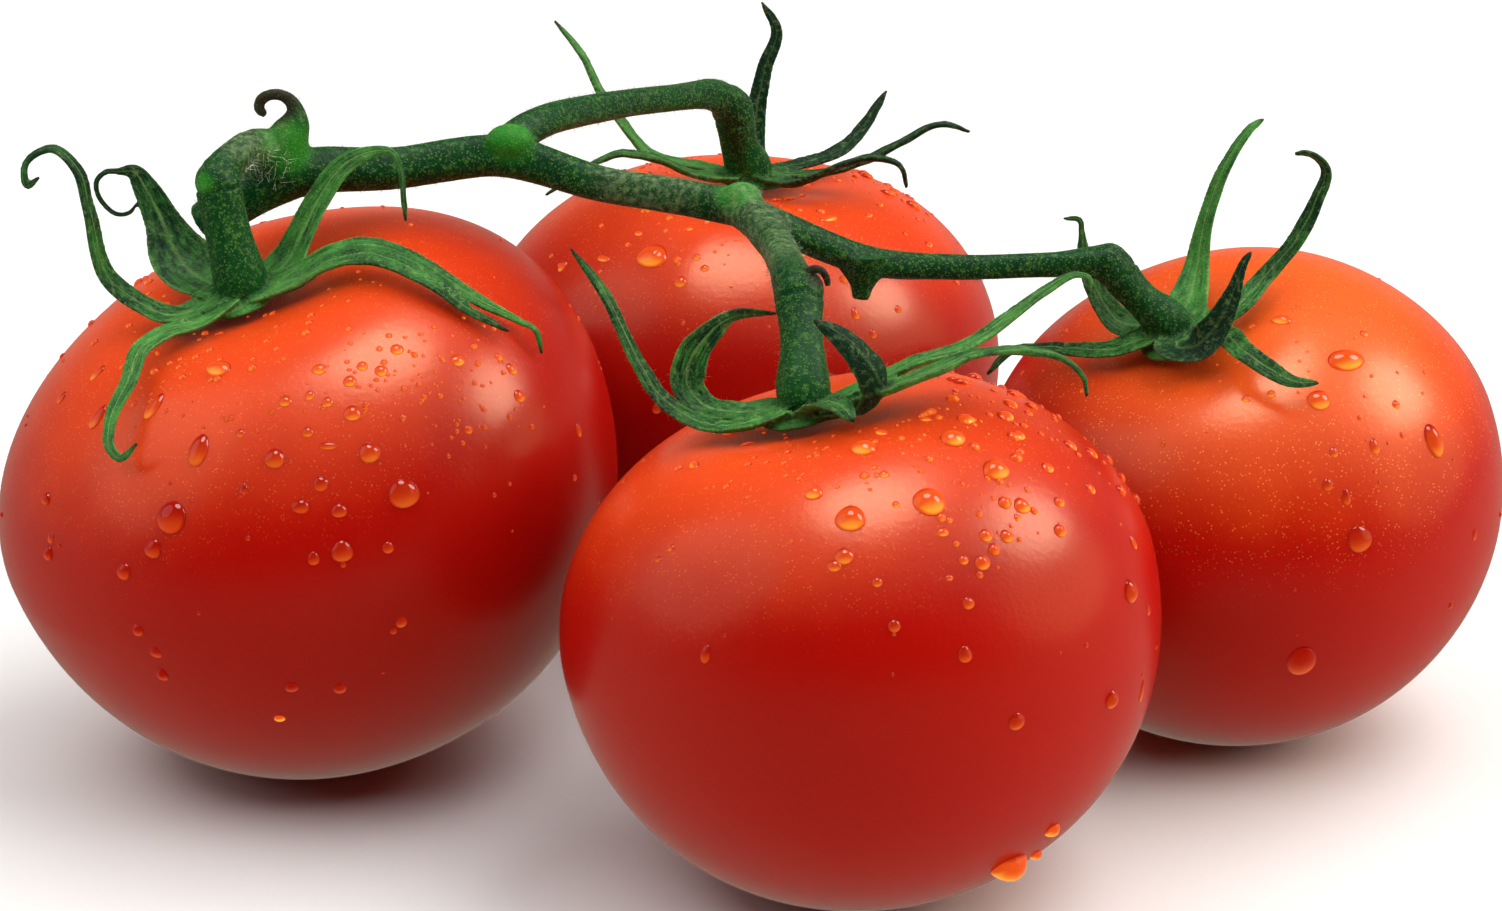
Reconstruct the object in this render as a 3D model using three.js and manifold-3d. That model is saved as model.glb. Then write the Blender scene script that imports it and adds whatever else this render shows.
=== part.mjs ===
// Truss of four ripe tomatoes lying on a table: the fruits, their calyxes and the green stem.
// Millimetres, +Z up, +Y away from the viewer. The origin is on the table, below the middle of
// the truss.
import * as THREE from 'three';
import { mergeVertices } from 'three/addons/utils/BufferGeometryUtils.js';
import Module from 'manifold-3d';

const wasm = await Module();
wasm.setup();

// Shape shared by the fruits, in parts of a fruit's radius.
const BASE_FULLNESS = 0.05;
const DIMPLE_DEPTH = 0.14;
const DIMPLE_WIDTH = 0.34;
const FRUIT_SIDES = 28;
const FRUIT_RINGS = 16;

// Collar of the calyx, standing just clear of the bottom of the dimple.
const COLLAR_RADIUS = 4.6;
const COLLAR_HALF_HEIGHT = 1.2;
const COLLAR_RISE = 1.7;

// Sepals are lens-shaped straps, a little channelled along the middle.
const SEPAL_HALF_THICKNESS = 0.45;
const SEPAL_CHANNEL = 0.22;
const SEPAL_SIDES = 6;
const STALK_SIDES = 8;
const STEPS_PER_POINT = 2;

// Slit left between the two halves of a pedicel at its knuckle, and the swelling above it.
const KNUCKLE_GAP = 0.4;
const ELBOW_SWELLING = 1.06;

// Each fruit: middle, radius, tilt towards the viewer and to the right in degrees, height of the
// upper and lower half and lift of the shoulder, the last three in parts of the radius.
const FRUITS = {
  left: {
    middle: [-53.3, -9.7, 36.6], radius: 37.5, nod: 12, roll: -15, upper: 0.72, lower: 0.99,
    lift: [0.07, 0.05],
  },
  front: {
    middle: [12.1, -47.2, 32.5], radius: 33.3, nod: -1, roll: -15, upper: 0.79, lower: 0.99,
    lift: [-0.05, -0.02],
  },
  right: {
    middle: [59.4, -1.2, 31.4], radius: 32.3, nod: 18, roll: -21, upper: 0.81, lower: 0.98,
    lift: [-0.04, 0.02],
  },
  back: {
    middle: [-1.3, 44.9, 33.6], radius: 34.9, nod: 0, roll: 4, upper: 0.78, lower: 0.98,
    lift: [0.05, 0],
  },
};

// Sepals of each calyx: points x, y, z from the middle of the collar, then the half width there.
const SEPALS = {
  left: [
    [[-2, -1, 0.2, 1.8], [-7, -3.5, -1.4, 1.8], [-10.5, -2, -1, 1.7], [-15.5, -1.5, 3, 1.5],
      [-17, -2, 11, 1.1], [-18, -2.5, 16, 0.9], [-20.5, -2.5, 18.5, 0.65], [-23.5, -3, 17, 0.5],
      [-23.5, -3.5, 14.5, 0.5], [-22, -3.5, 15.5, 0.45]],
    [[-2, 1, 0.5, 2.2], [-7, 4.5, 1.5, 2.8], [-9.1, 6.5, 3, 2.5], [-10.6, 8, 7, 2.1],
      [-12.5, 8.5, 11, 1.3], [-14.5, 8.5, 13, 0.8], [-17, 7.5, 12.5, 0.5], [-16.5, 7, 9.5, 0.5],
      [-14, 6, 9, 0.45]],
    [[2, 1, 0.5, 2], [5.5, 3, 3.5, 2.2], [7, 4, 6.5, 1.7], [9, 5, 10.5, 1.5], [12, 5.5, 14.5, 1.2],
      [15, 6, 16, 0.8], [17.5, 6, 16, 0.55], [18.5, 5.5, 14, 0.5], [18.5, 5, 11, 0.45]],
    [[2, -0.5, 0.5, 1.6], [7, -2, 3, 1.6], [11, -3, 5.5, 1.5], [15.5, -3.5, 6.5, 1.4],
      [22, -6.5, 5, 1.2], [28.5, -8.5, 2, 0.9], [33, -8, -0.5, 0.6], [35.5, -9, -3.5, 0.45]],
    [[2, -1.5, 0.5, 1.4], [7.2, -3.4, 2.7, 1.4], [11, -4.3, 5.1, 1.3], [15.5, -5, 6, 1.2],
      [22, -8, 4.5, 1], [27.5, -10.2, 1.3, 0.7], [32, -11, -0.8, 0.45]],
    [[-1, -2, 0.2, 1.5], [-4, -5.5, -1.5, 1.5], [-7.5, -8, -2, 1.5], [-10, -11, -3, 1.4],
      [-11, -15.5, -5.5, 1.2], [-12.5, -19, -8.5, 0.9], [-12.5, -21.5, -11, 0.7],
      [-11, -23, -12, 0.55], [-9, -23.5, -10, 0.45]],
  ],
  front: [
    [[-2, -1, 0.5, 1.4], [-7, -3, -0.5, 1.4], [-11, -1, -1, 1.3], [-15.5, 0, 1.5, 1.3],
      [-18, 1, 5, 1.1], [-20, 2, 9, 0.9], [-22, 3, 13, 0.75], [-25.5, 4.5, 17.5, 0.45]],
    [[-2, 0.5, 0.5, 1.5], [-7.5, 1.5, -0.5, 1.5], [-11, 2.5, 0, 1.6], [-13, 3, 2.5, 1.7],
      [-12.5, 3.5, 5.5, 1.8], [-10.5, 4.5, 8, 1.5], [-8, 6, 9.5, 0.9], [-3, 10, 8.5, 0.45]],
    [[0.5, -2, 0.5, 1.6], [1.5, -6, 3, 1.8], [3.5, -10, 4, 1.5], [5, -13, 3.5, 0.5]],
    [[2, -2, 0.5, 1.6], [7, -7.5, 3.5, 1.7], [7.5, -9, 6.5, 1.9], [6, -9.5, 9, 1.7],
      [4, -9.5, 11.5, 1.3], [0.5, -8.5, 13.5, 0.45]],
    [[2, 0, 0.5, 1.6], [8, -3, 4.5, 1.6], [12, -4, 7, 1.5], [17, -3, 8.3, 1.2], [21.5, 1, 10.1, 1],
      [26, 4, 12.6, 0.8], [29.5, 5, 14.1, 0.6], [31, 5, 13.1, 0.45]],
    [[2, -1, 0.5, 1.6], [9, -8, 5.3, 1.6], [13.5, -9, 7.5, 1.5], [18, -7.5, 9, 1.2],
      [23, -6, 9, 0.9], [27.5, -5.5, 8, 0.65], [30, -7, 5, 0.45]],
  ],
  right: [
    [[-2, 0, 0.5, 1.6], [-7.5, -1, -1.5, 1.6], [-12, 0.5, -2, 1.2], [-16, 1.5, -2, 0.8],
      [-19.5, 2, -2.5, 0.6], [-22.5, 2, -5.5, 0.45]],
    [[-1.5, 1.5, 0.5, 1.8], [-6.5, 3.5, 0.5, 2], [-8.5, 4.5, 2.5, 1.7], [-10, 5.5, 5.5, 1.3],
      [-11, 6.5, 9, 0.8], [-13.5, 6.5, 11.5, 0.45]],
    [[0.5, 1.5, 0.5, 2.2], [1.5, 3, 2.5, 2.6], [3, 7, 6.5, 1.8], [4, 8.5, 12, 1.3],
      [6, 9.5, 18, 0.9], [10.5, 11, 24, 0.45]],
    [[2, 0, 0.5, 1.6], [6.5, -1.5, 3.5, 1.7], [10.5, 1.5, 6.8, 1.4], [14, 1.5, 11.5, 1.2],
      [16, 1.5, 16, 1], [17, 1.5, 20, 0.8], [15, 1.5, 22, 0.55], [13, 1.5, 22, 0.45]],
    [[0, -2, 0.5, 1.6], [0.5, -7, -0.5, 1.7], [2.5, -8.5, 1, 2], [4, -9, 4.5, 1.8],
      [5.5, -9, 8, 1.2], [7, -8.5, 12.5, 0.45]],
    [[1.5, -1.5, 0.5, 1.5], [5, -7.5, 2, 1.5], [6.5, -12.5, 1.7, 1.4], [9, -15, 0.5, 1.2],
      [11.5, -16.5, -0.5, 0.8], [14.5, -17, -0.5, 0.45]],
  ],
  back: [
    [[-2, 0, 0.5, 1.6], [-7, -1.5, 2, 1.6], [-13.5, 0, 3.3, 1.4], [-16.5, -0.5, 6.8, 1.2],
      [-20, 0, 11.8, 1], [-22.5, 1, 16.8, 0.7], [-26, 3, 20.8, 0.45]],
    [[-2, -1.5, 0.5, 1.5], [-7, -6, 2, 1.5], [-12.5, -7, 4.5, 1.3], [-17, -8, 5.5, 1],
      [-20, -8, 4.5, 0.8], [-27, -8, 0, 0.45]],
    [[0, 2, 0.5, 1.5], [0.2, 4, 4, 1.5], [0.7, 5, 9, 1.3], [1.7, 6, 14, 1.1], [3.2, 7, 18.5, 0.8],
      [1.2, 7, 22.5, 0.45]],
    [[1.5, 1.5, 0.5, 1.4], [6.5, 3, 1.2, 1.4], [12, 5, 2.8, 1.3], [15, 7, 5.5, 1.1],
      [18, 9, 10, 0.5]],
    [[2, 0, 0.5, 1.5], [8, -2.5, 1.2, 1.5], [14, -4, 3.2, 1.3], [19.5, -4, 6, 1],
      [24.5, -4, 8.5, 0.7], [28.5, -4, 7.5, 0.45]],
    [[1.5, -1.5, 0.5, 1.5], [6, -8, 1.5, 1.5], [11, -9, 4, 1.4], [15.5, -10, 5.5, 1],
      [19, -10, 4.5, 0.7], [20, -10, 1.5, 0.45]],
  ],
};

// Lower pedicel of each calyx, from the collar to the knuckle: x, y, z and radius.
const PEDICELS = {
  left: [[0, 0, 0.3, 2], [-0.4, 0.2, 2, 3.2], [-1.5, 0.7, 7.3, 2.7], [-2.2, 1.1, 11.5, 2.8],
    [-2.4, 1.2, 13, 3.1]],
  front: [[0, 0, 0.3, 1.5], [-0.1, 1.3, 2.2, 2.8], [-0.2, 4.6, 6.4, 2.4], [-0.4, 7.2, 9, 2.5],
    [-0.5, 8.3, 10.1, 2.8]],
  right: [[0, 0, 0.3, 1.5], [-1.5, 0.2, 2, 2.5], [-4.2, 0.5, 4.3, 2.1], [-6.2, 0.6, 6.3, 2.2],
    [-7, 0.6, 7.3, 2.4]],
  back: [[0, 0, 0.3, 1.8], [-0.5, -0.7, 2, 2.9], [-1.6, -2.2, 5, 2.5], [-2.2, -4.1, 8.4, 2.5],
    [-2.4, -4.6, 9.6, 2.7]],
};

// Upper ends of the pedicels and the branches they hang on: x, y, z and radius on the table's
// axes. Each starts at the elbow above its knuckle and ends inside the branch that carries it.
const BRANCHES = {
  left: [[-61.7, -12.7, 74.1, 2.7], [-59.4, -9.3, 75, 2.7], [-56.4, -6.3, 74.2, 2.6],
    [-52, -4, 71.2, 2.4]],
  front: [[5, -36, 66.6, 2.5], [4.2, -29, 66.8, 2.1], [2.4, -18, 67.2, 2.1],
    [-0.8, -11, 68.5, 2.3], [-5.8, -9, 69.1, 2.1]],
  right: [[42.7, -7.3, 61.2, 2.2], [38.6, -7.5, 61, 1.7], [35.2, -7.5, 60.8, 1.55],
    [23.8, -8, 60.7, 1.6], [14.2, -9, 61.7, 1.8], [3.6, -10, 66.2, 1.9], [-1.7, -10, 68.7, 1.9]],
  back: [[-2.7, 38.9, 69.5, 2.4], [-4.8, 36, 71.2, 2.1], [-7.8, 31, 72.2, 1.8],
    [-18.4, 15, 74.5, 1.9], [-26, 2, 75.3, 2.1], [-30.2, -2, 72.9, 2.4]],
};

// Main stem from its cut end to the last fork.
const RACHIS = [[-65, -5, 65, 2.5], [-60.2, -5, 68.2, 2.7], [-53.2, -4, 71.1, 2.8],
  [-41.5, -3, 71.5, 2.5], [-29.6, -2, 72.7, 2.6], [-17.7, -5, 70.1, 2.2], [-5.8, -9, 69.1, 2.2],
  [0, -10.6, 68, 2]];

// Bud with a withered curl, a broken-off side stub and a withered bract.
const BUD = [[-55.2, -4.5, 71.5, 3], [-54.5, -5, 75.2, 2.6], [-53.5, -5, 77.6, 1.8],
  [-53.4, -5, 79.2, 1], [-54.2, -5, 80.4, 0.8], [-55.8, -5, 80.9, 0.7], [-57.4, -5, 80.2, 0.7],
  [-57.6, -5, 79, 0.6], [-56.8, -5, 78.4, 0.5]];
const STUB = [[13.3, -9, 61.8, 1.5], [13.3, -9.5, 60, 1.7], [13.2, -10, 58.5, 1.5]];
const BRACT = [[5, -36.2, 66.6, 0.7], [6.3, -37.4, 68.6, 0.5], [7, -37.6, 69.6, 0.45],
  [7.9, -37.6, 69, 0.45], [8.1, -37.6, 68, 0.4]];

// Swellings at the two forks: middle and half sizes.
const SWELLINGS = [
  { middle: [-28.3, -3, 74.3], half: [3, 2.6, 2.3] },
  { middle: [-1.1, -10.6, 69.6], half: [2.7, 2.4, 2.3] },
];

const SKIN = new THREE.MeshStandardMaterial({ color: 0xc4210f, roughness: 0.3, metalness: 0 });
const SEPAL_GREEN = new THREE.MeshStandardMaterial({ color: 0x2f6d34, roughness: 0.6, metalness: 0 });
const STEM_GREEN = new THREE.MeshStandardMaterial({ color: 0x23592c, roughness: 0.65, metalness: 0 });

function solidOf(geometry) {
  geometry.deleteAttribute('normal');
  geometry.deleteAttribute('uv');
  const welded = mergeVertices(geometry, 1e-4);
  return new wasm.Manifold(new wasm.Mesh({
    numProp: 3,
    vertProperties: new Float32Array(welded.attributes.position.array),
    triVerts: new Uint32Array(welded.index.array),
  }));
}

function fuse(solids) {
  return solids.reduce((whole, piece) => whole.add(piece));
}

function meshOf(name, solid, material) {
  const { vertProperties, triVerts } = solid.getMesh();
  const geometry = new THREE.BufferGeometry();
  geometry.setAttribute('position', new THREE.BufferAttribute(new Float32Array(vertProperties), 3));
  geometry.setIndex(new THREE.BufferAttribute(new Uint32Array(triVerts), 1));
  geometry.computeVertexNormals();
  const mesh = new THREE.Mesh(geometry, material);
  mesh.name = name;
  return mesh;
}

function ellipsoid(middle, half) {
  const geometry = new THREE.SphereGeometry(1, 12, 8);
  geometry.rotateX(Math.PI / 2);
  geometry.scale(...half);
  geometry.translate(...middle);
  return geometry;
}

// A rod swept along the spine. The section turns a point of the unit circle and the size at that
// place into a step across and a step up; "facing" is the side that starts upwards.
function sweep(spine, sides, facing, section) {
  const path = new THREE.CatmullRomCurve3(
    spine.map(([x, y, z]) => new THREE.Vector3(x, y, z)), false, 'centripetal');
  const steps = (spine.length - 1) * STEPS_PER_POINT;
  const stations = [];
  let up = facing.clone();
  for (let i = 0; i <= steps; i += 1) {
    const tangent = path.getTangent(i / steps);
    up = up.clone().addScaledVector(tangent, -up.dot(tangent)).normalize();
    const before = Math.min(Math.floor(i / STEPS_PER_POINT), spine.length - 2);
    const size = THREE.MathUtils.lerp(
      spine[before][3], spine[before + 1][3], i / STEPS_PER_POINT - before);
    stations.push({
      place: path.getPoint(i / steps), across: tangent.clone().cross(up), up, size,
    });
  }
  const geometry = new THREE.CylinderGeometry(1, 1, 1, sides, steps);
  const position = geometry.attributes.position;
  for (let v = 0; v < position.count; v += 1) {
    const station = stations[Math.round((position.getY(v) + 0.5) * steps)];
    const [across, rise] = section(station.size, position.getX(v), position.getZ(v));
    const point = station.place.clone()
      .addScaledVector(station.across, across)
      .addScaledVector(station.up, rise);
    position.setXYZ(v, point.x, point.y, point.z);
  }
  return solidOf(geometry);
}

function stalk(spine) {
  const facing = new THREE.Vector3(0.3, -0.8, 0.5);
  return sweep(spine, STALK_SIDES, facing, (radius, x, z) => [radius * x, radius * z]);
}

function sepal(spine, facing) {
  return sweep(spine, SEPAL_SIDES, facing, (half, x, z) => [
    half * x, SEPAL_HALF_THICKNESS * z + SEPAL_CHANNEL * half * x * x,
  ]);
}

function placement(fruit) {
  const tilt = new THREE.Matrix4().makeRotationX(THREE.MathUtils.degToRad(fruit.nod));
  tilt.multiply(new THREE.Matrix4().makeRotationY(THREE.MathUtils.degToRad(fruit.roll)));
  return new THREE.Matrix4().makeTranslation(...fruit.middle).multiply(tilt);
}

// Skin point for a direction on the unit sphere, with the stem end towards +Z.
function skinPoint(fruit, unit) {
  const across = Math.hypot(unit.x, unit.y);
  const upper = Math.max(unit.z, 0);
  const lower = Math.min(unit.z, 0);
  const widen = 1 + BASE_FULLNESS * lower * lower;
  const lift = Math.sqrt(upper) * across * (fruit.lift[0] * unit.x + fruit.lift[1] * unit.y);
  const dimple = upper > 0 ? DIMPLE_DEPTH * Math.exp(-((across / DIMPLE_WIDTH) ** 2)) : 0;
  const height = fruit.upper * upper + fruit.lower * lower + lift - dimple;
  return new THREE.Vector3(unit.x * widen, unit.y * widen, height).multiplyScalar(fruit.radius);
}

// The fruit rests on a small flat where its skin presses on the table.
function tomato(fruit) {
  const geometry = new THREE.SphereGeometry(1, FRUIT_SIDES, FRUIT_RINGS);
  geometry.rotateX(Math.PI / 2);
  const position = geometry.attributes.position;
  for (let v = 0; v < position.count; v += 1) {
    const point = skinPoint(fruit, new THREE.Vector3().fromBufferAttribute(position, v));
    position.setXYZ(v, point.x, point.y, point.z);
  }
  geometry.applyMatrix4(placement(fruit));
  const table = new THREE.BoxGeometry(120, 120, 20);
  table.translate(fruit.middle[0], fruit.middle[1], -10);
  return solidOf(geometry).subtract(solidOf(table));
}

function collarMiddle(fruit) {
  const bottom = fruit.radius * (fruit.upper - DIMPLE_DEPTH);
  return new THREE.Vector3(0, 0, bottom + COLLAR_RISE).applyMatrix4(placement(fruit));
}

function shifted(spine, by) {
  return spine.map(([x, y, z, size]) => [x + by.x, y + by.y, z + by.z, size]);
}

function calyx(side) {
  const fruit = FRUITS[side];
  const matrix = placement(fruit);
  const middle = collarMiddle(fruit);
  const axis = new THREE.Vector3(0, 0, 1).transformDirection(matrix);
  const collar = ellipsoid([0, 0, fruit.radius * (fruit.upper - DIMPLE_DEPTH) + COLLAR_RISE],
    [COLLAR_RADIUS, COLLAR_RADIUS, COLLAR_HALF_HEIGHT]);
  collar.applyMatrix4(matrix);
  const sepals = SEPALS[side].map((spine) => sepal(shifted(spine, middle), axis));
  return fuse([solidOf(collar), ...sepals, stalk(shifted(PEDICELS[side], middle))]);
}

// Upper pedicel: from the slit at the knuckle round the elbow and along its branch.
function branch(side) {
  const lower = shifted(PEDICELS[side], collarMiddle(FRUITS[side]));
  const [end, before] = [lower.at(-1), lower.at(-2)];
  const knuckle = new THREE.Vector3(end[0], end[1], end[2]);
  const along = knuckle.clone().sub(new THREE.Vector3(before[0], before[1], before[2])).normalize();
  const station = (step, radius) => {
    const point = knuckle.clone().addScaledVector(along, step);
    return [point.x, point.y, point.z, radius];
  };
  const elbow = BRANCHES[side][0];
  const swelling = elbow[3] * ELBOW_SWELLING;
  const ball = ellipsoid(elbow.slice(0, 3), [swelling, swelling, swelling]);
  const neck = stalk([station(-1, end[3]), station(KNUCKLE_GAP + 1, end[3]), elbow]);
  const sleeve = stalk([station(-4, end[3] + 1), station(KNUCKLE_GAP, end[3] + 1)]);
  return fuse([neck, solidOf(ball), stalk(BRANCHES[side])]).subtract(sleeve);
}

function trussStem() {
  const swellings = SWELLINGS.map(({ middle, half }) => solidOf(ellipsoid(middle, half)));
  return fuse([
    stalk(RACHIS), stalk(BUD), stalk(STUB), stalk(BRACT),
    ...Object.keys(BRANCHES).map(branch), ...swellings,
  ]);
}

const truss = new THREE.Group();
truss.name = 'truss_of_tomatoes';
for (const side of Object.keys(FRUITS)) {
  truss.add(meshOf(`tomato_${side}`, tomato(FRUITS[side]), SKIN));
  truss.add(meshOf(`calyx_${side}`, calyx(side), SEPAL_GREEN));
}
truss.add(meshOf('truss_stem', trussStem(), STEM_GREEN));

export default truss;
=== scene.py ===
import math
import random
from functools import partial

import bmesh
import bpy
from mathutils import Matrix, Vector, noise
from mathutils.bvhtree import BVHTree
from mathutils.kdtree import KDTree


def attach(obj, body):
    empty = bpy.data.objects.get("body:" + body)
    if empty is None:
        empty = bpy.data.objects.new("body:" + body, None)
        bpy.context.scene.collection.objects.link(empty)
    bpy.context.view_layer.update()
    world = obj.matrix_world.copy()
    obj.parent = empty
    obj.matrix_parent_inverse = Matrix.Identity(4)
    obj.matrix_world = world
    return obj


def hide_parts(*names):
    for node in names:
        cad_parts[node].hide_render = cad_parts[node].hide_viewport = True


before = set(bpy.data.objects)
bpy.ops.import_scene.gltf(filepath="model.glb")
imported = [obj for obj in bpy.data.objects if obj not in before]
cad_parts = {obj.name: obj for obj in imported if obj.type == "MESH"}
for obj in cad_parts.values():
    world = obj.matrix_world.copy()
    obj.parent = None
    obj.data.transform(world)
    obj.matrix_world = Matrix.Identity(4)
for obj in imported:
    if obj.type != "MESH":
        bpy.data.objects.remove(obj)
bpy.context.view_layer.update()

bl_info = {
    "name": "Truss of tomatoes",
    "version": (1, 0, 0),
    "blender": (4, 5, 0),
    "location": "View3D > Sidebar > Truss",
    "description": "Models a truss of four ripe tomatoes, wet from washing",
    "category": "Object",
}

MM = 0.001

# Settings of the shader nodes that are used most.
SMOOTH = {"interpolation_type": "SMOOTHSTEP"}
COLOURS = {"data_type": "RGBA"}
TIMES = {"operation": "MULTIPLY"}

# Each fruit: middle, radius, tilt towards the viewer and to the right in degrees, height of the
# upper and lower half and lift of the shoulder, the last three in parts of the radius.
FRUITS = {
    "left": ((-53.3, -9.7, 36.6), 37.5, 12, -15, 0.72, 0.99, (0.07, 0.05)),
    "front": ((12.1, -47.2, 32.5), 33.3, -1, -15, 0.79, 0.99, (-0.05, -0.02)),
    "right": ((59.4, -1.2, 31.4), 32.3, 18, -21, 0.81, 0.98, (-0.04, 0.02)),
    "back": ((-1.3, 44.9, 33.6), 34.9, 0, 4, 0.78, 0.98, (0.05, 0.0)),
}
# Lobes of each fruit: swell in parts of the radius and turn in radians.
LOBES = {"left": (0.02, 2.8), "front": (0.008, 33.3), "right": (0.008, 32.3), "back": (0.008, 34.9)}
LOBE_COUNT = 5
# In parts of the radius: lobes all over a fruit, swell of its lower half, dimple at its stem end.
FAINT_LOBE = 0.004
LOWER_SWELL = 0.05
DIMPLE_DEPTH = 0.14
DIMPLE_WIDTH = 0.34
# How far each fruit's orange shoulder reaches down, below 0 for a small one, and how much the right
# fruit's leans to one side, towards the right lamps. The orange is partly the fruit's own and
# partly painted light on its top.
ORANGE = {"left": -0.05, "front": -0.03, "right": -0.16, "back": -0.05}
RIGHT_LEAN = 0.45

# Collar of a calyx: its rise above the dimple, and the lift and half sizes of its web.
COLLAR_RISE = 1.7
COLLAR_LIFT = 0.1
COLLAR_HALF = (4.8, 4.8, 0.65)
# Voxel sizes of the skins that join the rods of a calyx and of the stem, how often these skins are
# smoothed, and how many points of the rods give a point of the skin its values.
CALYX_GRAIN = 0.19
STEM_GRAIN = 0.28
SMOOTHINGS = 7
NEAR_POINTS = 9
# A way that no rod runs along, from which stalks start to measure their angle.
FACING = (0.3, -0.8, 0.5)

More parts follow.
